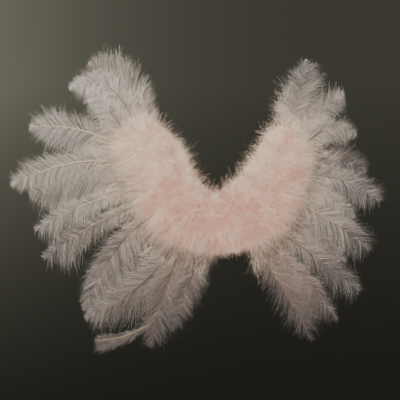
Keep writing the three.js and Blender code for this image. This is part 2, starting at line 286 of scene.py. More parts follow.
across = np.linspace(-1, 1, 2 * STRAP_RIBS + 1)
ribbed = STRAP_THICKNESS / 2 - STRAP_RIB_DEPTH * (np.arange(len(across)) % 2 == 0)
ribbed[[0, -1]] = STRAP_SELVEDGE
ring_across = np.concatenate([across, across[::-1]]) * STRAP_WIDTH / 2
ring_out = np.concatenate([ribbed, -ribbed[::-1]])
for side, name in ((-1, "left"), (1, "right")):
    middle, tangent = smooth_route(STRAP_ROUTE * (side, 1, 1), STRAP_STEPS_PER_SPAN)
    face = unit(np.stack([np.zeros(len(middle)), -tangent[:, 2], tangent[:, 1]], axis=1))
    rings = middle[:, None] + ring_across[None, :, None] * (1, 0, 0) + ring_out[None, :, None] * face[:, None]
    count = rings.shape[1]
    last = (len(rings) - 1) * count
    faces = [[r + k, r + count + k, r + count + (k + 1) % count, r + (k + 1) % count]
             for r in range(0, last, count) for k in range(count)]
    faces += [list(range(count)), list(range(last + count - 1, last - 1, -1))]
    mesh = plain_mesh(f"elastic_strap_{name}", rings.reshape(-1, 3), faces, elastic)
    run = run_along(middle)[:, None]
    band = np.stack(np.broadcast_arrays(ring_across[None], run), axis=2).reshape(-1, 2)
    corner_points = np.empty(len(mesh.loops), int)
    mesh.loops.foreach_get("vertex_index", corner_points)
    mesh.uv_layers.new(name="band").uv.foreach_set("vector", band[corner_points].ravel().astype(np.float32))
    new_piece(f"elastic_strap_{name}", mesh, "elastic", f"shoulder_strap_{name}")


# Ostrich plumes
# Natural ostrich feathers, lightly dyed, glued by the quill to the far side of the felt. Each has a tapering
# horn quill and two vanes of loose barbs that don't hook together, so they part into locks and fray.

# The shaft: how far off the felt it is seated, and where along it the base lifts and the plume rises.
PLUME_SEED = 100
PLUME_SEAT = 5.4 * MM
BASE_LIFT = 6 * MM
BASE_LIFTS_ALONG = (10 * MM, 38 * MM)
RISES_ALONG = (45 * MM, 140 * MM)
SHAFT_STEPS = 160
WAY_STEP = 0.01
# The quill: a tapering tube that sinks under the barbs past its bare stretch.
QUILL_RADIUS = 2.2 * MM
QUILL_TIP_RADIUS = 0.4 * MM
QUILL_TAPER = 0.8
QUILL_STEPS = 40
QUILL_SIDES = 6
QUILL_RISE = 3 * MM
QUILL_SINK = 5.2 * MM
QUILL_TO = 0.97
QUILL_FADED = 0.12
BARE_BLEND = 0.2
# The vane: where on the shaft barbs grow, and how its edge and its surface lie.
BARBS_PER_MM = 5.6
BARBS_FROM = 10 * MM
BARBS_TO = 0.96
VANE_TO = 0.975
VANE_HALVINGS = 14
VANE_CAMBER = 0.06
VANE_LOFT = 3.5 * MM
BARB_SWEEP = 0.6
SWEEP_SETTLES = (0.05, 0.5)
TIP_SWEEP = 1.5
TIP_SWEEPS_ALONG = (0.8, 1)
# The barb: a tapering strip that crosses over the quill, bows, droops and is drawn into locks and tufts.
BARB_WIDTH = 0.45 * MM
BARB_TAPER = 0.68
BARB_STEPS = 4
BARB_REACH = 0.88
BARB_REACH_LIMITS = (0.35, 1.17)
BARB_CROSSING = 6 * MM
BARB_CROSSING_LIFT = 2.4 * MM
BARB_BOW = 0.35
BARB_BOW_LIFT = (0, -0.05, 0)
BARB_DROOP = 0.08 * np.array((0, 0.2, -1))
BARB_TWIST = 0.7
LOCK_PITCH = 2.4 * MM
LOCK_JITTER = 0.6 * MM
LOCK_CLUMP = 0.7
TUFT_JITTER = 1.2 * MM
TUFT_CLUMP = 0.72
# How much barbs differ: first what a lock shares, then what is the barb's own, within STRAYS deviations.
STRAYS = 2
SWEEP_SPREAD = (0.08, 0.12)
REACH_SPREAD = (0.05, 0.16)
REACH_BY_TUFT = 0.09
LOFT_SPREAD = (0.5, 0.8)
BOW_SPREAD = (0, 0.2)
CURL_SPREAD = (0.05, 0.2)
TONE_SPREAD = (0.14, 0.3)
TONE_BY_TUFT = 0.04
# How many columns of random values there are, and which these take.
COLUMNS = 6
REACH, SWEEP, LOFT, TONE = 0, 1, 2, 4
BOW, TWIST, CURL = slice(0, 3), slice(3, 4), slice(3, 6)
# The colour: more dyed at the base, and paler there as painted light against the fluff's shade. Thinner
# where the plume thins towards its tip or is sparse, and darker there as painted shade on the barbs left.
BASE_DYED_AND_LIT_ALONG = (40 * MM, 130 * MM)
BASE_PAINTED_LIGHT = 0.18
BASE_PAINTED_LIGHT_YET = 0.2
BASE_BLUSH = 0.12
THIN_PAINTED_SHADE = 0.5
THINS_AND_SHADES_ALONG = (0.4, 0.95)
SPARSE_FROM = (0.1, 0.3)
SPARSE_TO = (0.65, 0.85)
TONE_LIMITS = (0.03, 0.9)
BARB_WHITE = "#e9e4dc"
BARB_GREY = "#4d4c4e"
BARB_BLUSH = "#c79f92"
QUILL_HORN = "#cbc1a4"
QUILL_BROWN = "#2f1e10"
# The map of colours: a column for each level of dye, across it the share along a strand, up it the tone.
DYE_LEVELS = 12
DYE_MARGIN = 0.02
TONE_BAND = 0.006
QUILL_SWATCH = (0.93, 0.99)
# The kinds of feather: a soft one narrows from its middle on, a pointed one closes early on its upper side,
# a broad one widens towards its tip, a brushy one is fuller above and a hanging one below, a bushy one stays
# full on both sides, and the stiff one widens from a slim stem to a square end. loose is how freely barbs
# part, tuft the length of shaft whose barbs draw together, closes the share of the shaft where the upper
# vane, 1, and the lower one, -1, start to narrow, and a higher end is squarer. slim is the share of its width
# that a vane lacks at its start, and it makes this up between the lengths from and full.
SOFT = {"loose": 1.0, "tuft": 5.5 * MM, "closes": {1: 0.4, -1: 0.5}, "end": 1.8, "slim": 0.25,
        "from": BARBS_FROM, "full": 64 * MM}
FEATHER_KINDS = {
    "soft": SOFT,
    "pointed": SOFT | {"closes": {1: 0.2, -1: 0.75}, "slim": 0.0},
    "broad": SOFT | {"loose": 0.85, "closes": {1: 0.52, -1: 0.75}, "slim": 0.65, "full": 200 * MM},
    "brushy": SOFT | {"closes": {1: 0.75, -1: 0.5}},
    "hanging": SOFT | {"closes": {1: 0.2, -1: 0.8}, "slim": 0.6, "full": 240 * MM},
    "bushy": SOFT | {"closes": {1: 0.75, -1: 0.75}, "end": 2.0},
    "stiff": SOFT | {"loose": 0.5, "tuft": 15 * MM, "closes": {1: 0.92, -1: 0.92}, "end": 6.0, "slim": 0.9,
                     "from": 195 * MM, "full": 340 * MM},
}
# A plume's first line has the root, middle and tip of its shaft in the plane of the panel, the widths of its
# upper vane, lead, and lower vane, trail, how far it rises off the panel and curls back at its tip, all in
# millimetres, and its roll. The second has its kind, the strength of the dye, blush, and of the brown of its
# quill, how pale its barbs are, lowered as painted shade on plumes that lie in shade and raised as painted
# light on some that the fluff shades, how much it thins towards the tip, with painted shade darkening the
# barbs left there, how sparse its lower vane is along the middle, where painted shade darkens it too, the
# share of the shaft that is bare of crossing barbs, and how steeply barbs are swept.
PLUME_COLUMNS = ("root middle tip lead trail rise curl roll "
                 "kind blush brown pale fades sparse bare swept").split()
PLUMES = {
    "left_1": ((-156, 185), (-194, 295), (-307, 366), 62, 48, 0, 40, 0.1,
        "broad", 0.05, 0.3, 0.38, 0, 0, 0.25, 0.75),
    "left_2": ((-173, 168), (-252, 305), (-349, 296), 34, 54, 14, 55, 0.12,
        "soft", 0.04, 0.8, 0.76, 0, 0, 0.5, 1),
    "left_3": ((-185, 151), (-245, 240), (-305, 300), 29, 35, 28, 60, 0.08,
        "soft", 0.04, 0.8, 0.86, 0, 0, 0.5, 1),
    "left_4": ((-199, 151), (-324, 204), (-446, 207), 36, 54, 10, 50, 0.2,
        "brushy", 0.03, 0, 0.57, 0.05, 0, 0.85, 0.72),
    "left_5": ((-192, 108), (-324, 127), (-487, 67), 34, 48, 22, 60, 0.1,
        "brushy", 0.05, 0.15, 0.6, 0.1, 0, 0.7, 0.72),
    "left_6": ((-187, 79), (-312, 77), (-451, 46), 38, 44, 0, 30, 0.02,
        "bushy", 0.08, 0.3, 0.46, 0.1, 0, 0.15, 0.75),
    "left_7": ((-168, 60), (-295, 31), (-434, -38), 36, 43, 14, 50, 0.2,
        "hanging", 0.08, 0.3, 0.67, 0.6, 0, 0.5, 0.85),
    "left_8": ((-170, 29), (-295, -26), (-412, -104), 34, 46, 16, 55, 0.2,
        "hanging", 0.05, 0.6, 0.37, 0.3, 0.1, 0.5, 0.85),
    "left_9": ((-144, 0), (-238, -84), (-314, -231), 32, 54, 18, 50, 0.2,
        "soft", 0.1, 1, 0.31, 0.3, 0, 0.6, 1.1),
    "left_10": ((-89, -50), (-175, -163), (-314, -241), 44, 60, 20, 60, 0.2,
        "soft", 0.14, 1, 0.4, 0.25, 0.5, 0.55, 1.2),
    "left_11": ((-74, -60), (-120, -180), (-156, -317), 48, 43, 30, 60, 0.2,
        "soft", 0.14, 1, 0.08, 0.75, 0, 0.5, 1.3),
    "left_12": ((-12, -60), (-62, -161), (-103, -276), 34, 32, 34, 65, 0.2,
        "soft", 0.1, 1, 0.04, 0.75, 0, 0.5, 0.95),
    "left_13": ((-58, -55), (-132, -240), (-295, -302), 14, 25, 0, 5, 0,
        "stiff", 0.1, 0.3, 0.11, 0, 0, 0.9, 2.4),
    "right_1": ((166, 192), (198, 284), (214, 370), 45, 38, 30, 60, 0.06,
        "pointed", 0.02, 0.5, 0.41, 0.25, 0, 0.1, 1),
    "right_2": ((180, 156), (252, 252), (314, 290), 29, 31, 0, 28, 0,
        "bushy", 0.1, 0.3, 0.55, 0.3, 0, 0.1, 1),
    "right_3": ((192, 137), (266, 204), (335, 184), 34, 29, 30, 55, 0.15,
        "pointed", 0.06, 1, 0.52, 0.4, 0, 0.4, 1),
    "right_4": ((199, 118), (288, 130), (365, 103), 40, 29, 0, 35, 0,
        "soft", 0.02, 0.3, 0.06, 0.2, 0, 0.1, 1),
    "right_5": ((180, 89), (288, 89), (396, 33), 29, 39, 16, 55, 0.2,
        "bushy", 0.02, 0.8, 0.38, 0.45, 0, 0.5, 1),
    "right_6": ((180, 67), (269, 48), (331, -10), 19, 30, 16, 50, 0.16,
        "soft", 0.06, 0.3, 0.46, 0.45, 0, 0.4, 1.2),
    "right_7": ((168, 36), (269, -7), (366, -88), 31, 44, 38, 62, 0.2,
        "bushy", 0.08, 0.3, 0.46, 0.88, 0.35, 0.25, 1.2),
    "right_8": ((168, -2), (242, -55), (317, -113), 31, 31, 0, 28, 0,
        "soft", 0.08, 0.7, 0.32, 0.5, 0, 0.2, 1.4),
    "right_9": ((144, -36), (245, -101), (348, -182), 25, 37, 14, 55, 0.2,
        "bushy", 0.06, 0.8, 0.31, 0.75, 0.4, 0.4, 1.4),
    "right_10": ((122, -60), (214, -149), (293, -254), 21, 46, 16, 55, 0.2,
        "soft", 0.18, 0.2, 0.2, 0.75, 0, 0.1, 1.6),
    "right_11": ((91, -65), (168, -180), (230, -302), 44, 34, 20, 60, 0.2,
        "soft", 0.2, 0.2, 0.06, 0.88, 0.6, 0.05, 1.6),
}


def smoothstep(value, low, high):
    """A smooth rise from 0 at the low value to 1 at the high one."""
    share = np.clip((value - low) / (high - low), 0, 1)
    return share * share * (3 - 2 * share)


def plume_shaft(plume):
    """The length of a plume's shaft, and a function for the points at a share along it, aside and ahead."""
    root, middle, tip = (MM * np.array(plume[key], float) for key in ("root", "middle", "tip"))
    bend = 2 * middle - (root + tip) / 2
    t = np.linspace(0, 1, SHAFT_STEPS)[:, None]
    line = (1 - t) ** 2 * root + 2 * t * (1 - t) * bend + t**2 * tip
    slope = unit(np.gradient(line, axis=0))
    run = run_along(line)
    length = run[-1]
    wing = np.sign(root[0])

    def point_at(along, aside, ahead):
        inside = np.clip(along, 0, 1)
        spot = np.stack([np.interp(inside * length, run, line[:, k]) for k in (0, 1)], axis=-1)
        way = np.stack([np.interp(inside * length, run, slope[:, k]) for k in (0, 1)], axis=-1)
        spot += way * ((along - inside) * length)[..., None]
        lift = BASE_LIFT * smoothstep(along * length, *BASE_LIFTS_ALONG)
        rise = MM * plume["rise"] * smoothstep(along * length, *RISES_ALONG)
        depth = PLUME_SEAT + lift + rise + MM * plume["curl"] * inside**2 + ahead
        return np.stack([spot[:, 0] - wing * way[:, 1] * aside, -depth,
                         spot[:, 1] + wing * way[:, 0] * aside], axis=1)

    return length, point_at


def strand_source(strands, quill=None):
    """A mesh with a loose point at the root of each strand, and a line of points along the quill."""
    count = len(strands["root"])
    points = strands["root"] if quill is None else np.vstack([strands["root"], quill["line"]])
    source = bpy.data.meshes.new("strand roots")
    source.from_pydata(points, [(k, k + 1) for k in range(count, len(points) - 1)], [])
    for name in ("aim", "bow", "curl", "across"):
        values = np.zeros((len(points), 3), np.float32)
        values[:count] = strands[name]
        source.attributes.new(name, "FLOAT_VECTOR", "POINT").data.foreach_set("vector", values.ravel())
    for name in ("tone", "blush", "along", "thickness"):
        values = np.zeros(len(points), np.float32)
        values[:count] = strands.get(name, 0)
        values[count:] = 0 if quill is None else quill[name]
        source.attributes.new(name, "FLOAT", "POINT").data.foreach_set("value", values)
    chosen = np.arange(len(points)) < count
    source.attributes.new("strand", "BOOLEAN", "POINT").data.foreach_set("value", chosen)
    return source


# Loose ostrich barbs: soft and matte, paler towards the tip of a barb, with the dye strongest at its base.
barbs, tree, shader = new_material("dyed ostrich barbs", {
    "Roughness": 0.85, "Specular IOR Level": 0.2, "Sheen Weight": 0.15})
tone, blush, along = (add(tree, "ShaderNodeAttribute", attribute_name=name).outputs["Fac"]
                      for name in ("tone", "blush", "along"))
base = add(tree, "ShaderNodeMix", {
    "Factor": tone, COLOUR_A: linear(BARB_GREY), COLOUR_B: linear(BARB_WHITE)}, data_type="RGBA")
worn = add(tree, "ShaderNodeMapRange", {"Value": along, "To Min": 1.5, "To Max": 0.4})
held = add(tree, "ShaderNodeMath", {0: blush, 1: worn}, operation="MULTIPLY")
dyed = add(tree, "ShaderNodeMix", {
    "Factor": held, COLOUR_A: base.outputs[MIXED], COLOUR_B: linear(BARB_BLUSH)}, data_type="RGBA")
fade = add(tree, "ShaderNodeMapRange", {"Value": along, "To Min": 0.75, "To Max": 1.12})
shade = add(tree, "ShaderNodeVectorMath", {0: dyed.outputs[MIXED], "Scale": fade}, operation="SCALE")
tree.links.new(shade.outputs["Vector"], shader.inputs["Base Color"])

# Quill horn: a smooth waxy shaft, brown at the base on some feathers and paler towards the tip.
horn, tree, shader = new_material("feather quill horn", {"Roughness": 0.6, "Specular IOR Level": 0.3})
tone, along = (add(tree, "ShaderNodeAttribute", attribute_name=name).outputs["Fac"]
               for name in ("tone", "along"))
stain = add(tree, "ShaderNodeMapRange", {
    "Value": tone, "From Min": QUILL_SWATCH[0], "From Max": QUILL_SWATCH[1]})
fade = add(tree, "ShaderNodeMapRange", {"Value": along, "To Min": 1.0, "To Max": 0.6})
brown = add(tree, "ShaderNodeMath", {0: stain, 1: fade}, operation="MULTIPLY")
shade = add(tree, "ShaderNodeMix", {
    "Factor": brown, COLOUR_A: linear(QUILL_HORN), COLOUR_B: linear(QUILL_BROWN)}, data_type="RGBA")
tree.links.new(shade.outputs[MIXED], shader.inputs["Base Color"])

# The tree that grows a strand on each loose point and a tube along each line, and maps both to their colours.
strand_tree, given = new_tree(
    "feather_strands", Steps=("NodeSocketInt", BARB_STEPS), Taper=("NodeSocketFloat", BARB_TAPER),
    Strand=("NodeSocketMaterial", None), Quill=("NodeSocketMaterial", None))
tree = strand_tree
per_point = {"data_type": "FLOAT", "domain": "POINT"}
strip = add(tree, "GeometryNodeMeshGrid", {
    "Size X": 1.0, "Size Y": 1.0, "Vertices X": given["Steps"], "Vertices Y": 2})
spot = add(tree, "ShaderNodeSeparateXYZ", {0: add(tree, "GeometryNodeInputPosition")})
share = add(tree, "ShaderNodeMath", {0: spot.outputs["X"], 1: 0.5}, operation="ADD")
aside = add(tree, "GeometryNodeStoreNamedAttribute", {
    "Geometry": strip, "Name": "side", "Value": spot.outputs["Y"]}, **per_point)
marked = add(tree, "GeometryNodeStoreNamedAttribute", {
    "Geometry": aside, "Name": "share", "Value": share}, **per_point)
chosen = add(tree, "GeometryNodeInputNamedAttribute", {"Name": "strand"}, data_type="BOOLEAN")
rooted = add(tree, "GeometryNodeInstanceOnPoints", {
    "Points": given["Geometry"], "Instance": marked, "Selection": chosen, "Scale": (0.0, 0.0, 0.0)})
loose = add(tree, "GeometryNodeRealizeInstances", {"Geometry": rooted})
kinds = dict.fromkeys(("aim", "bow", "curl", "across"), "FLOAT_VECTOR")
kinds |= dict.fromkeys(("share", "side", "tone", "blush", "along", "thickness"), "FLOAT")
field = {name: add(tree, "GeometryNodeInputNamedAttribute", {"Name": name}, data_type=kind)
         for name, kind in kinds.items()}
left = add(tree, "ShaderNodeMath", {0: 1.0, 1: field["share"]}, operation="SUBTRACT")
arch = add(tree, "ShaderNodeMath", {0: left, 1: field["share"]}, operation="MULTIPLY")
cube = add(tree, "ShaderNodeMath", {0: field["share"], 1: 3.0}, operation="POWER")
thin = add(tree, "ShaderNodeMath", {0: given["Taper"], 1: field["share"]}, operation="MULTIPLY")
full = add(tree, "ShaderNodeMath", {0: 1.0, 1: thin}, operation="SUBTRACT")
half = add(tree, "ShaderNodeMath", {0: full, 1: field["side"]}, operation="MULTIPLY")
offset = None
for name, scale in (("aim", field["share"]), ("bow", arch), ("curl", cube), ("across", half)):
    part = add(tree, "ShaderNodeVectorMath", {0: field[name], "Scale": scale}, operation="SCALE")
    if offset is not None:
        part = add(tree, "ShaderNodeVectorMath", {0: offset, 1: part}, operation="ADD")
    offset = part
grown = add(tree, "GeometryNodeSetPosition", {"Geometry": loose, "Offset": offset})
reach = add(tree, "GeometryNodeStoreNamedAttribute", {
    "Geometry": grown, "Name": "along", "Value": field["share"]}, **per_point)
soft = add(tree, "GeometryNodeSetMaterial", {"Geometry": reach, "Material": given["Strand"]})
shaft = add(tree, "GeometryNodeMeshToCurve", {"Mesh": given["Geometry"]})
ring = add(tree, "GeometryNodeCurvePrimitiveCircle", {"Resolution": QUILL_SIDES, "Radius": 1.0})
round_side = add(tree, "GeometryNodeStoreNamedAttribute", {
    "Geometry": ring, "Name": "side", "Value": spot.outputs["X"]}, **per_point)
tube = add(tree, "GeometryNodeCurveToMesh", {
    "Curve": shaft, "Profile Curve": round_side, "Scale": field["thickness"], "Fill Caps": True})
hard = add(tree, "GeometryNodeSetMaterial", {"Geometry": tube, "Material": given["Quill"]})
whole = add(tree, "GeometryNodeJoinGeometry")
tree.links.new(soft.outputs["Geometry"], whole.inputs["Geometry"])
tree.links.new(hard.outputs["Geometry"], whole.inputs["Geometry"])
band = add(tree, "ShaderNodeMath", {0: field["side"], 1: TONE_BAND, 2: field["tone"]},
           operation="MULTIPLY_ADD")
column = add(tree, "ShaderNodeMath", {0: field["blush"], 1: DYE_LEVELS, 2: DYE_MARGIN},
             operation="MULTIPLY_ADD")
place = add(tree, "ShaderNodeMath", {0: field["along"], 1: 1 - 2 * DYE_MARGIN, 2: column},
            operation="MULTIPLY_ADD")
over = add(tree, "ShaderNodeMath", {0: place, 1: DYE_LEVELS + 1}, operation="DIVIDE")
swatch = add(tree, "ShaderNodeCombineXYZ", {"X": over, "Y": band})
mapped = add(tree, "GeometryNodeStoreNamedAttribute", {
    "Geometry": whole, "Name": "OFBake", "Value": swatch}, data_type="FLOAT2", domain="CORNER")
add(tree, "NodeGroupOutput", {"Geometry": mapped})


def barb_reach(kind, side, width, share, forward, length):
    """How far barbs reach from the shaft to end at the edge of their vane, found by halving."""
    closes = kind["closes"][side]
    grow = 1 - kind["slim"] * (1 - smoothstep(share * length, kind["from"], kind["full"]))
    low = np.zeros(len(share))
    high = np.full(len(share), width)
    for turn in range(VANE_HALVINGS):
        reach = (low + high) / 2
        ended = share + forward * reach / length
        closing = np.clip((ended - closes) / (VANE_TO - closes), 0, 1)
        inside = reach < width * grow * (1 - closing ** kind["end"]) ** (1 / kind["end"])
        low = np.where(inside, reach, low)
        high = np.where(inside, high, reach)
    return reach


def vane_barbs(plume, side, width, chance):
    """The barbs of a plume's upper vane, side 1, or its lower vane, side -1, as strands."""
    length, point_at = plume_shaft(plume)
    kind = FEATHER_KINDS[plume["kind"]]
    loose = kind["loose"]
    count = round(BARBS_PER_MM * length / MM)
    share = np.sort(chance.uniform(BARBS_FROM / length, BARBS_TO, count))
    lock = np.floor((share * length + chance.normal(0, LOCK_JITTER, count)) / LOCK_PITCH).astype(int)
    gather = LOCK_CLUMP * ((lock + 0.5) * LOCK_PITCH / length - share)
    lock -= lock.min()
    by_lock = loose * np.clip(chance.normal(0, 1, (lock.max() + 1, COLUMNS)), -STRAYS, STRAYS)[lock]
    by_barb = loose * np.clip(chance.normal(0, 1, (count, COLUMNS)), -STRAYS, STRAYS)
    tuft = np.floor((share * length + chance.normal(0, TUFT_JITTER, count)) / kind["tuft"]).astype(int)
    drawn = TUFT_CLUMP * ((tuft + 0.5) * kind["tuft"] - share * length)
    tuft -= tuft.min()
    by_tuft = loose * np.clip(chance.normal(0, 1, tuft.max() + 1), -STRAYS, STRAYS)[tuft]

    def spread(columns, amounts):
        return amounts[0] * by_lock[:, columns] + amounts[1] * by_barb[:, columns]

    thin = plume["fades"] * smoothstep(share, *THINS_AND_SHADES_ALONG)
    if side < 0:
        middle = smoothstep(share, *SPARSE_FROM) * (1 - smoothstep(share, *SPARSE_TO))
        thin = np.maximum(thin, plume["sparse"] * middle)
    base = 1 - smoothstep(share * length, *BASE_DYED_AND_LIT_ALONG)
    forward = BARB_SWEEP + (plume["swept"] - BARB_SWEEP) * smoothstep(share, *SWEEP_SETTLES)
    forward += TIP_SWEEP * smoothstep(share, *TIP_SWEEPS_ALONG)
    forward *= 1 + spread(SWEEP, SWEEP_SPREAD)
    reach = barb_reach(kind, side, width, share, forward, length)
    reach *= np.clip(BARB_REACH + spread(REACH, REACH_SPREAD) + REACH_BY_TUFT * by_tuft, *BARB_REACH_LIMITS)
    zero = np.zeros(count)
    over = smoothstep(share, plume["bare"], plume["bare"] + BARE_BLEND) * chance.uniform(0, 1, count) ** 2
    root = point_at(share, -side * BARB_CROSSING * over, BARB_CROSSING_LIFT * over)
    ahead = plume["roll"] * side * reach - VANE_CAMBER * reach + VANE_LOFT * spread(LOFT, LOFT_SPREAD)
    aim = point_at(share + gather + forward * reach / length, side * reach, ahead) - root
    size = np.linalg.norm(aim, axis=1)[:, None]
    way = unit(point_at(share + WAY_STEP, zero, zero) - point_at(share, zero, zero))
    flat = unit(np.cross(aim, (0, 1, 0)))
    twist = BARB_TWIST * by_barb[:, TWIST]
    # Painted light and shade: barbs are made paler near the base, which the fluff shades, and darker where
    # the plume thins towards its tip or its lower vane is sparse.
    tone = plume["pale"] + (BASE_PAINTED_LIGHT + BASE_PAINTED_LIGHT_YET * plume["pale"]) * base - THIN_PAINTED_SHADE * thin
    tone += (spread(TONE, TONE_SPREAD) + TONE_BY_TUFT * by_tuft) / loose
    grown = {
        "root": root, "aim": aim,
        "bow": size * (BARB_BOW * way + spread(BOW, BOW_SPREAD) + BARB_BOW_LIFT),
        "curl": size * (BARB_DROOP + spread(CURL, CURL_SPREAD)) + drawn[:, None] * way,
        "across": BARB_WIDTH * (np.cos(twist) * flat + np.sin(twist) * unit(np.cross(flat, aim))),
        "tone": np.clip(tone, *TONE_LIMITS),
        "blush": np.round((plume["blush"] * (1 - thin) + BASE_BLUSH * base) * DYE_LEVELS) / DYE_LEVELS}
    kept = chance.uniform(0, 1, count) > thin
    return {key: values[kept] for key, values in grown.items()}


def quill_line(plume):
    """The points along a plume's quill, with their colours and the thickness there."""
    point_at = plume_shaft(plume)[1]
    share = np.linspace(0, QUILL_TO - QUILL_FADED * plume["fades"], QUILL_STEPS)
    zero = np.zeros(QUILL_STEPS)
    sunk = QUILL_SINK * smoothstep(share, plume["bare"], plume["bare"] + BARE_BLEND)
    return {"line": point_at(share, zero, QUILL_RISE - sunk), "along": share, "blush": zero,
            "tone": zero + np.interp(plume["brown"], (0, 1), QUILL_SWATCH),
            "thickness": QUILL_RADIUS + (QUILL_TIP_RADIUS - QUILL_RADIUS) * share**QUILL_TAPER}


for number, (name, values) in enumerate(PLUMES.items()):
    plume = dict(zip(PLUME_COLUMNS, values))
    chance = np.random.default_rng(PLUME_SEED + number)
    vanes = [vane_barbs(plume, side, MM * plume[width], chance)
             for side, width in ((1, "lead"), (-1, "trail"))]
    strands = {key: np.concatenate([vane[key] for vane in vanes]) for key in vanes[0]}
    mesh = make_mesh(strand_source(strands, quill_line(plume)), strand_tree, {"Strand": barbs, "Quill": horn})
    new_piece(f"ostrich_plume_{name}", mesh, "plume", f"plume_{name}")


# Marabou fluff
# The down of marabou feathers, dyed pink and sewn down in overlapping tufts, so it stands up like deep fur.
# The tufts lie outwards from the middle of each wing and hide the felt, the quills and the sewn straps.

# Its outline, the spine along the middle of both wings, and the dome that it makes.
FLUFF_OUTLINE = MM * np.array([
    [0, 67], [-22, 82], [-41, 113], [-60, 156], [-84, 187], [-113, 216], [-142, 242], [-168, 245],
    [-209, 223], [-238, 190], [-247, 156], [-233, 118], [-209, 79], [-199, 41], [-180, 2], [-156, -31],
    [-125, -60], [-84, -77], [-41, -86], [0, -94], [41, -89], [84, -79], [120, -72], [156, -50], [180, -12],
    [204, 29], [218, 72], [233, 120], [223, 168], [204, 209], [175, 247], [149, 257], [122, 223], [96, 173],
    [67, 132], [43, 94]])
FLUFF_SPINE = MM * np.array([[-176, 160], [-146, 78], [-74, 8], [0, -12], [76, 4], [142, 74], [170, 165]])
FLUFF_BACK = 20 * MM
FLUFF_SEED = 7
SPINE_STEPS = 12
SPINE_TURN = 60 * MM
RIM_STEPS = 6
DOME_EDGE = 64 * MM
DOME_HEIGHT = 46 * MM
# The matted core: the solid, smoothed and drawn in so far that the tufts cover it.
CORE_WELD = 0.05 * MM
CORE_LONG_EDGE = 14 * MM
CORE_SMOOTHINGS = 10
CORE_FRONT = -22 * MM
CORE_SHRINK = 15 * MM
CORE_INSET = 0.75
# The tufts: how many, and where they are thinner. Wisps are tufts that lie loose on the plumes past the edge.
TUFTS = 13800
TUFT_TRIES = 4
WISPS = 1400
WISP_REACH = 50 * MM
WISP_RISE = 0.4
WISP_LENGTH = 18 * MM
WISP_SCATTER = 3 * MM
EDGE_THINS = 40 * MM
EDGE_THINNED = 0.4
TOP_THINS = (165 * MM, 240 * MM)
TOP_THINNED = 0.85
NECK_THINS = (4 * MM, 15 * MM)
NECK_THINNED = 0.8
# The lie of the tufts: away from the spine, out along it and a little down, stirred most near the spine.
FLOW_WIDTH = 40 * MM
FLOW_ALONG = 0.7
FLOW_DOWN = (0, -0.25)
FLOW_EASE = 0.3
STIR_LEAST = 0.2
STIR_MORE = 0.3
STIR_CALMS = (0.2, 1.2)
LEAN_OUT = 0.4
LEAN_BACK = 0.35
LEAN_BY_LOCK = 0.15
FLUFF_LOCK = 11 * MM
FLUFF_LOCK_JITTER = 1.5 * MM
FLUFF_LOCK_TABLE = 97
# The strands: their sizes, and how they spread, bow and curl as shares of their length.
STRANDS_PER_TUFT = 4
DOWN_WIDTH = 0.36 * MM
DOWN_STEPS = 4
DOWN_LEAST = 3 * MM
DOWN_SHORTEST = 12 * MM
DOWN_LONGEST = 44 * MM
DOWN_ROOTS = MM * np.array((1.32, 0.44, 1.32))
DOWN_ROOT_DEPTH = 3 * MM
DOWN_SPREAD = 0.34
DOWN_BOW = 0.4
DOWN_BOW_SPREAD = 0.25
DOWN_CURL_SPREAD = 0.16
DOWN_DROOP = (0, 0.05, -0.08)
# The fringe: how far strands stray past the edge at the neck, where most stop short of it and only the
# luckiest pass, below the middle and over the plumes.
FRINGE_AT_NECK = 24 * MM
FRINGE_BELOW = 7 * MM
FRINGE_OVER_PLUMES = 40 * MM
NECK_SPAN = (-166 * MM, 150 * MM)
NECK_ABOVE = 60 * MM
LOWER_SPAN = (-20 * MM, 80 * MM)
LOWER_BELOW = -70 * MM
NECK_LUCK = 2
NECK_LUCK_RANGE = 1.5
NECK_STRAY = (-0.45, 1)
STRAY_BY_LUCK = 0.7
STRAY_MOST = 2
# The colour: pinker below, and darker there as painted shade on the underside, paler above, in waves
# and locks, and bleached at the edge and at the top of the wings, first the right one's, then the left one's.
TONE_LOWEST_WITH_SHADE = -0.22
TONE_GAIN = 1.02
TONE_RISES = (-60 * MM, 150 * MM)
TONE_EDGE = 0.05
TONE_EDGE_WITHIN = (4 * MM, 45 * MM)
TONE_OVER_PLUMES = 0.3
TONE_WAVES = 0.6
WAVE_COUNT = 6
WAVE_SIZE = 10 * MM
WAVE_PHASES = 6
TONE_BY_LOCK = 0.65
TONE_OF_TUFT = 0.22
TONE_OF_STRAND = 0.12
DOWN_TONE_LIMITS = (0.02, 0.9)
TOP_BLEACHES = (175 * MM, 240 * MM)
TOP_BLEACHED = (0.9, 0.5)
EDGE_BLEACHED = 0.8
EDGE_PALES = 30 * MM
EDGE_PALES_ABOVE = (-40 * MM, 50 * MM)
WISP_BLEACHED = 0.8
MATTED_WISP = 5 * MM
MATTED_NAP = 2 * MM
FLUFF_PINK = "#f9e9da"
FLUFF_SALMON = "#daa492"
FLUFF_PALE = "#fbf1e4"
FLUFF_EDGE = "#c9beb1"

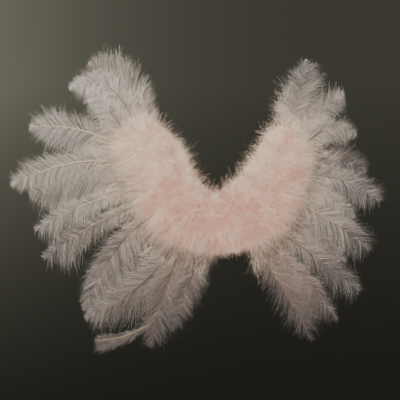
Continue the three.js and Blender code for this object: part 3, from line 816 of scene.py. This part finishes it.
# Marabou down: matte and very soft, deeper pink between the tufts, almost white at the tips, and bleached to
# a warm grey over the plumes.
down, tree, shader = new_material("dyed marabou down", {
    "Roughness": 0.95, "Specular IOR Level": 0.15, "Sheen Weight": 0.2})
tone, blush, along = (add(tree, "ShaderNodeAttribute", attribute_name=name).outputs["Fac"]
                      for name in ("tone", "blush", "along"))
base = add(tree, "ShaderNodeMix", {
    "Factor": tone, COLOUR_A: linear(FLUFF_SALMON), COLOUR_B: linear(FLUFF_PINK)}, data_type="RGBA")
tips = add(tree, "ShaderNodeMath", {0: along, 1: 0.35}, operation="MULTIPLY")
shade = add(tree, "ShaderNodeMix", {
    "Factor": tips, COLOUR_A: base.outputs[MIXED], COLOUR_B: linear(FLUFF_PALE)}, data_type="RGBA")
faded = add(tree, "ShaderNodeMapRange", {"Value": along, "To Min": 0.6, "To Max": 1.0})
bleach = add(tree, "ShaderNodeMath", {0: blush, 1: faded}, operation="MULTIPLY")
shade = add(tree, "ShaderNodeMix", {
    "Factor": bleach, COLOUR_A: shade.outputs[MIXED], COLOUR_B: linear(FLUFF_EDGE)}, data_type="RGBA")
tree.links.new(shade.outputs[MIXED], shader.inputs["Base Color"])

# Matted down at the roots of the tufts: a felted pink mass in which single fibres no longer show.
matted, tree, shader = new_material("matted marabou down", {"Roughness": 0.95, "Sheen Weight": 0.2})
place = add(tree, "ShaderNodeTexCoord").outputs["Object"]
wisp = add(tree, "ShaderNodeTexNoise", {
    "Vector": place, "Scale": 1 / MATTED_WISP, "Detail": 6.0, "Distortion": 1.5})
shade = add(tree, "ShaderNodeMix", {
    "Factor": wisp, COLOUR_A: linear(FLUFF_SALMON), COLOUR_B: linear(FLUFF_PINK)}, data_type="RGBA")
nap = add(tree, "ShaderNodeBump", {"Height": wisp, "Strength": 0.8, "Distance": MATTED_NAP})
tree.links.new(shade.outputs[MIXED], shader.inputs["Base Color"])
tree.links.new(nap.outputs["Normal"], shader.inputs["Normal"])

spine = np.vstack([a + (b - a) * np.linspace(0, 1, SPINE_STEPS)[:, None]
                   for a, b in zip(FLUFF_SPINE, FLUFF_SPINE[1:])])
spine_way = unit(np.gradient(spine, axis=0)) * np.tanh(spine[:, :1] / SPINE_TURN)
rim = walk_round(FLUFF_OUTLINE, [RIM_STEPS] * len(FLUFF_OUTLINE))
rim_out = unit(np.roll(rim, -1, axis=0) - np.roll(rim, 1, axis=0))[:, ::-1] * (1, -1)


def fluff_dome(flat):
    """For points in the plane of the panel: how far off the edge is, its nearest point, the depth of the
    fluff's domed front and the way that it faces."""
    gap = np.linalg.norm(flat[:, None] - rim, axis=2)
    reach = gap.min(axis=1)
    edge = rim[gap.argmin(axis=1)]
    steep = 1 - np.clip(reach / DOME_EDGE, 0, 1)
    level = np.sqrt(1 - steep**2)
    normal = np.insert(unit(edge - flat) * steep[:, None], 1, -level, axis=1)
    return reach, edge, FLUFF_BACK + DOME_HEIGHT * level, normal


def fringe_beyond(edge):
    """How far single strands stray over the edge of the fluff at points along it."""
    x, z = edge.T
    fringe = np.full(len(edge), FRINGE_OVER_PLUMES)
    fringe[(x > NECK_SPAN[0]) & (x < NECK_SPAN[1]) & (z > NECK_ABOVE)] = FRINGE_AT_NECK
    fringe[(x > LOWER_SPAN[0]) & (x < LOWER_SPAN[1]) & (z < LOWER_BELOW)] = FRINGE_BELOW
    return fringe


core = bpy.data.objects["marabou_body"].data.copy()
core.materials.clear()
core.materials.append(matted)
shape = bmesh.new()
shape.from_mesh(core)
bmesh.ops.remove_doubles(shape, verts=shape.verts, dist=CORE_WELD)
long_edges = [e for e in shape.edges if e.calc_length() > CORE_LONG_EDGE]
bmesh.ops.subdivide_edges(shape, edges=long_edges, cuts=1, use_grid_fill=True)
for turn in range(CORE_SMOOTHINGS):
    bmesh.ops.smooth_vert(shape, verts=shape.verts, factor=0.5,
                          use_axis_x=True, use_axis_y=True, use_axis_z=True)
shape.normal_update()
for vertex in shape.verts:
    vertex.co -= CORE_SHRINK * vertex.normal * (vertex.co.y < CORE_FRONT)
shape.to_mesh(core)
shape.free()
places = np.empty(3 * len(core.vertices))
core.vertices.foreach_get("co", places)
places = places.reshape(-1, 3)
hub = spine[np.argmin(np.linalg.norm(places[:, None, [0, 2]] - spine, axis=2), axis=1)]
places[:, [0, 2]] = hub + CORE_INSET * (places[:, [0, 2]] - hub)
covered = np.maximum(fluff_dome(places[:, [0, 2]])[2] - CORE_SHRINK, FLUFF_BACK)
places[:, 1] = np.maximum(places[:, 1], -covered)
core.vertices.foreach_set("co", places.ravel())
for face in core.polygons:
    face.use_smooth = True
new_piece("marabou_down", core, "fluff", "marabou_body")

# Where the tufts are: spots inside the outline, fewer where it is thinned, and then the wisps past its edge.
chance = np.random.default_rng(FLUFF_SEED)
flat = chance.uniform(FLUFF_OUTLINE.min(axis=0), FLUFF_OUTLINE.max(axis=0), (TUFT_TRIES * TUFTS, 2))
(x0, z0), (x1, z1) = FLUFF_OUTLINE.T[..., None], np.roll(FLUFF_OUTLINE, -1, axis=0).T[..., None]
level = flat[:, 1]
crossed = (z0 > level) != (z1 > level)
crossed &= flat[:, 0] < x0 + (x1 - x0) * (level - z0) / np.where(z1 == z0, 1, z1 - z0)
flat = flat[crossed.sum(axis=0) % 2 == 1]
reach, edge, depth, normal = fluff_dome(flat)
fringe = fringe_beyond(edge)
over_plumes = (fringe == FRINGE_OVER_PLUMES) * (1 - smoothstep(reach, 0, EDGE_THINS))
at_top = smoothstep(flat[:, 1], *TOP_THINS) * (flat[:, 0] > 0)
at_neck = (fringe == FRINGE_AT_NECK) * (1 - smoothstep(reach, *NECK_THINS))
thinned = np.maximum.reduce([EDGE_THINNED * over_plumes, TOP_THINNED * at_top, NECK_THINNED * at_neck])
kept = np.flatnonzero(chance.uniform(0, 1, len(flat)) > thinned)[:TUFTS]
laid = chance.choice(np.flatnonzero(fringe_beyond(rim) == FRINGE_OVER_PLUMES), WISPS)
beyond = WISP_REACH * chance.uniform(0, 1, WISPS) ** 2
scatter = chance.normal(0, WISP_SCATTER, (WISPS, 2))
flat = np.vstack([flat[kept], rim[laid] + beyond[:, None] * rim_out[laid] + scatter])
reach = np.concatenate([reach[kept], np.full(WISPS, WISP_LENGTH)])
depth = np.concatenate([depth[kept], FLUFF_BACK + WISP_RISE * beyond])
normal = np.vstack([normal[kept], np.insert(rim_out[laid], 1, 0, axis=1)])
fringe = np.concatenate([fringe[kept], np.full(WISPS, FRINGE_OVER_PLUMES)])
over_plumes = np.concatenate([over_plumes[kept], np.ones(WISPS)])

# How each tuft lies, and its tone.
nearest = np.argmin(np.linalg.norm(flat[:, None] - spine, axis=2), axis=1)
away = (flat - spine[nearest]) / FLOW_WIDTH
flow = away + FLOW_ALONG * spine_way[nearest] + FLOW_DOWN
flow /= FLOW_EASE + np.linalg.norm(flow, axis=1, keepdims=True)
tuft = np.insert(flat, 1, -depth, axis=1)
cells = np.floor((flat + chance.normal(0, FLUFF_LOCK_JITTER, flat.shape)) / FLUFF_LOCK).astype(int)
lock = chance.normal(0, 1, (FLUFF_LOCK_TABLE, FLUFF_LOCK_TABLE, 4))[tuple(cells.T % FLUFF_LOCK_TABLE)]
calm = smoothstep(np.linalg.norm(away, axis=1, keepdims=True), *STIR_CALMS)
stirred = (STIR_LEAST + STIR_MORE * (1 - calm)) * chance.normal(0, 1, (len(flat), 3))
lean = unit(np.insert(flow, 1, LEAN_BACK * over_plumes, axis=1) + LEAN_OUT * normal + stirred
            + LEAN_BY_LOCK * lock[:, 1:])
waves = sum(np.sin(flat @ chance.normal(0, 1 / WAVE_SIZE, 2) + chance.uniform(0, WAVE_PHASES))
            for turn in range(WAVE_COUNT)) / WAVE_COUNT
high = smoothstep(flat[:, 1], *TONE_RISES)
at_top = np.where(flat[:, 0] > 0, *TOP_BLEACHED) * smoothstep(flat[:, 1], *TOP_BLEACHES)
at_edge = smoothstep(flat[:, 1], *EDGE_PALES_ABOVE) * (1 - smoothstep(reach, 0, EDGE_PALES))
bleached = np.maximum.reduce([at_top, EDGE_BLEACHED * at_edge, WISP_BLEACHED * over_plumes])
# Pinker and darker towards the bottom: partly the dye, partly painted shade on the underside.
tuft_tone = TONE_LOWEST_WITH_SHADE + TONE_GAIN * high + TONE_EDGE * high * (1 - smoothstep(reach, *TONE_EDGE_WITHIN))
tuft_tone += TONE_OVER_PLUMES * over_plumes**2 + TONE_WAVES * waves + TONE_BY_LOCK * lock[:, 0]
tuft_tone += chance.normal(0, TONE_OF_TUFT, len(flat))

# The strands of all tufts, each with random values of its own.
owner = np.repeat(np.arange(len(flat)), STRANDS_PER_TUFT)
strand_count = len(owner)
own = chance.normal(0, 1, (strand_count, 8))
root = tuft[owner] + DOWN_ROOTS * own[:, 0:3] - DOWN_ROOT_DEPTH * normal[owner]
luck = chance.exponential(1, strand_count)
past_neck = np.clip((luck - NECK_LUCK) / NECK_LUCK_RANGE, *NECK_STRAY)
past_edge = np.minimum(STRAY_BY_LUCK * luck, STRAY_MOST)
stray = fringe[owner] * np.where(fringe[owner] == FRINGE_AT_NECK, past_neck, past_edge)
size = np.minimum(chance.uniform(DOWN_SHORTEST, DOWN_LONGEST, strand_count), reach[owner] + stray)
size = np.maximum(size, DOWN_LEAST)[:, None]
aim = size * unit(lean[owner] + DOWN_SPREAD * own[:, 3:6])
fluff = {
    "root": root, "aim": aim,
    "bow": size * (DOWN_BOW * normal[owner] + DOWN_BOW_SPREAD * own[:, 4:7]),
    "curl": size * (DOWN_CURL_SPREAD * own[:, 5:8] + DOWN_DROOP),
    "across": DOWN_WIDTH * unit(np.cross(aim, own[:, 0:3])),
    "tone": np.clip(tuft_tone[owner] + TONE_OF_STRAND * own[:, 7], *DOWN_TONE_LIMITS),
    "blush": np.round(bleached[owner] * DYE_LEVELS) / DYE_LEVELS}
for name, half in (("left", root[:, 0] < 0), ("right", root[:, 0] >= 0)):
    mesh = make_mesh(strand_source({key: values[half] for key, values in fluff.items()}), strand_tree,
                     {"Strand": down, "Quill": horn, "Steps": DOWN_STEPS})
    new_piece(f"marabou_tufts_{name}", mesh, "fluff")


# Camera, floor and light
# A level view from behind the wearer, a wide soft light high on the left, a weaker one on the right, a rim
# light from the far side, and a dim room that is lightest at the upper left.
VIEW_DISTANCE = 3.0
VIEW_WIDTH = 0.96
VIEW_CENTRE = (-0.036, -0.03, 0.036)
SENSOR = 36
FLOOR_LEVEL = -1.25
FLOOR_CORNERS = ((-3, -4), (3, -4), (3, 2), (-3, 2))
FLOOR_MOTTLE = 250 * MM
FLOOR_PALE = "#d9d6d0"
FLOOR_PALER = "#e2dfda"
LAMP_WARM = linear("#fff6ea")[:3]
# Each light's name, place, width and watts.
LIGHTS = (
    ("soft box left", (-0.7, -1.75, 1.05), 1.8, 86),
    ("soft box right", (1.3, -1.7, 0.5), 1.6, 26),
    ("rim light", (0.6, 1.8, 1.6), 1.2, 16))
ROOM_GLOW = "#e8e4e0"
ROOM_DARK = "#1e1e1a"
ROOM_LIT = "#6b6a5d"
# How the seen room gets lighter from right to left and from low to high, by the way that one looks.
ROOM_RIGHT, ROOM_LEFT = 0.16, -0.16
ROOM_LOW, ROOM_HIGH = -0.24, 0.09
ROOM_SIDEWAYS_POWER = 3.0
ROOM_UPWARD_POWER = 2.2
ROOM_RIGHT_SHARE = 0.27

camera = bpy.data.objects.new("camera", bpy.data.cameras.new("camera"))
camera.location = (VIEW_CENTRE[0], VIEW_CENTRE[1] - VIEW_DISTANCE, VIEW_CENTRE[2])
camera.rotation_euler = (math.pi / 2, 0, 0)
camera.data.sensor_width = SENSOR
camera.data.lens = SENSOR * VIEW_DISTANCE / VIEW_WIDTH
bpy.context.scene.collection.objects.link(camera)
bpy.context.scene.camera = camera

# Painted floor: pale and even, with a faint roller mottle.
floor_paint, tree, shader = new_material("matte floor paint", {"Roughness": 0.9})
place = add(tree, "ShaderNodeTexCoord").outputs["Object"]
mottle = add(tree, "ShaderNodeTexNoise", {"Vector": place, "Scale": 1 / FLOOR_MOTTLE})
shade = add(tree, "ShaderNodeMix", {
    "Factor": mottle, COLOUR_A: linear(FLOOR_PALE), COLOUR_B: linear(FLOOR_PALER)}, data_type="RGBA")
tree.links.new(shade.outputs[MIXED], shader.inputs["Base Color"])
floor_points = [(x, y, FLOOR_LEVEL) for x, y in FLOOR_CORNERS]
floor = bpy.data.objects.new("floor", plain_mesh("floor", floor_points, [(0, 1, 2, 3)], floor_paint))
bpy.context.scene.collection.objects.link(floor)

for name, spot, width, watts in LIGHTS:
    lamp = bpy.data.objects.new(name, bpy.data.lights.new(name, "AREA"))
    lamp.data.size = width
    lamp.data.energy = watts
    lamp.data.color = LAMP_WARM
    lamp.location = spot
    lamp.rotation_euler = (-Vector(spot)).to_track_quat("-Z", "Y").to_euler()
    bpy.context.scene.collection.objects.link(lamp)

world = bpy.data.worlds.new("studio room")
world.use_nodes = True
tree = world.node_tree
tree.nodes.clear()
path = add(tree, "ShaderNodeLightPath")
glow = add(tree, "ShaderNodeBackground", {"Color": linear(ROOM_GLOW), "Strength": 0.3})
way = add(tree, "ShaderNodeSeparateXYZ", {0: add(tree, "ShaderNodeTexCoord").outputs["Generated"]})
near = add(tree, "ShaderNodeMapRange", {
    "Value": way.outputs["X"], "From Min": ROOM_RIGHT, "From Max": ROOM_LEFT})
near = add(tree, "ShaderNodeMath", {0: near, 1: ROOM_SIDEWAYS_POWER}, operation="POWER")
near = add(tree, "ShaderNodeMath", {0: near, 1: 1 - ROOM_RIGHT_SHARE, 2: ROOM_RIGHT_SHARE},
           operation="MULTIPLY_ADD")
high = add(tree, "ShaderNodeMapRange", {
    "Value": way.outputs["Z"], "From Min": ROOM_LOW, "From Max": ROOM_HIGH})
high = add(tree, "ShaderNodeMath", {0: high, 1: ROOM_UPWARD_POWER}, operation="POWER")
fall = add(tree, "ShaderNodeMath", {0: near, 1: high}, operation="MULTIPLY")
grey = add(tree, "ShaderNodeMix", {
    "Factor": fall, COLOUR_A: linear(ROOM_DARK), COLOUR_B: linear(ROOM_LIT)}, data_type="RGBA")
seen = add(tree, "ShaderNodeBackground", {"Color": grey.outputs[MIXED], "Strength": 1.0})
both = add(tree, "ShaderNodeMixShader", {0: path.outputs["Is Camera Ray"], 1: glow, 2: seen})
add(tree, "ShaderNodeOutputWorld", {"Surface": both})
bpy.context.scene.world = world
